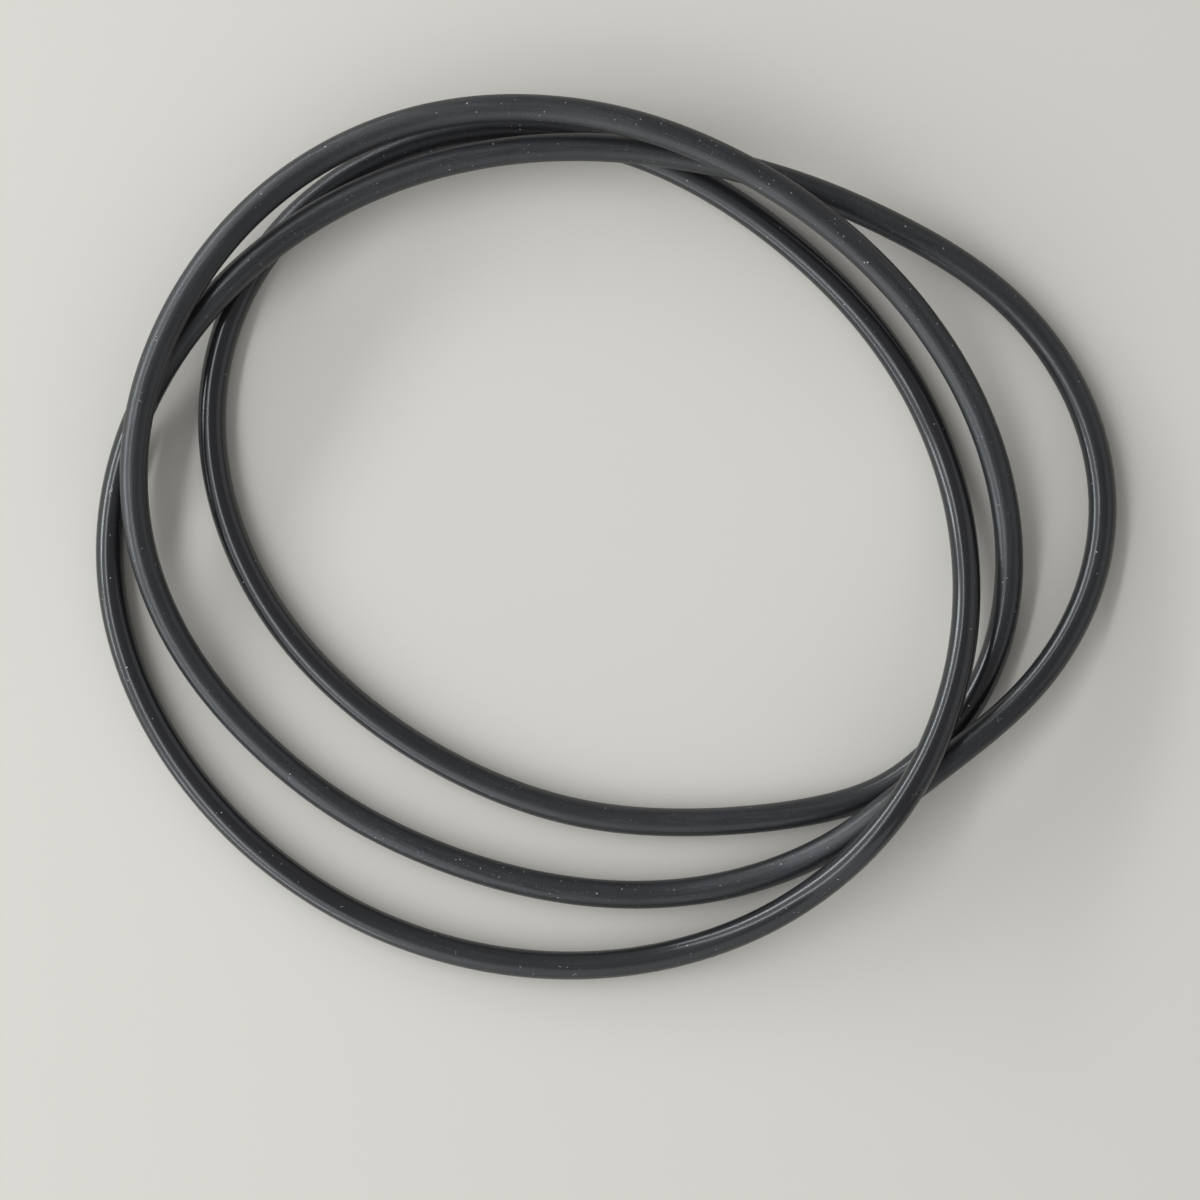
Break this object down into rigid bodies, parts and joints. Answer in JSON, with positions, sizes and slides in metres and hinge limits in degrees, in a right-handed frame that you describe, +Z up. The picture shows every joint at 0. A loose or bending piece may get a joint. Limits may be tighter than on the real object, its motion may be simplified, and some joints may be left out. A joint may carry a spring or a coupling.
{
  "type": "o-ring",
  "caption": "Large rubber o-ring of round section, one endless moulded ring that seals a groove in a flange, lid or housing, lying coiled on a flat surface with its turns crossing",
  "frame": {"origin": "The centre of the coiled ring's box, on the surface that it lies on", "axes": "+X along the coil's longest extent, to the right in the picture; +Y to the top of the picture; +Z up from the surface, along the coil's thickness"},
  "size_m": [0.1918, 0.1656, 0.0174],
  "materials": {
    "rubber": "satin"
  },
  "bodies": {
    "root": {"o_ring": "rubber"}
  },
  "joints": []
}
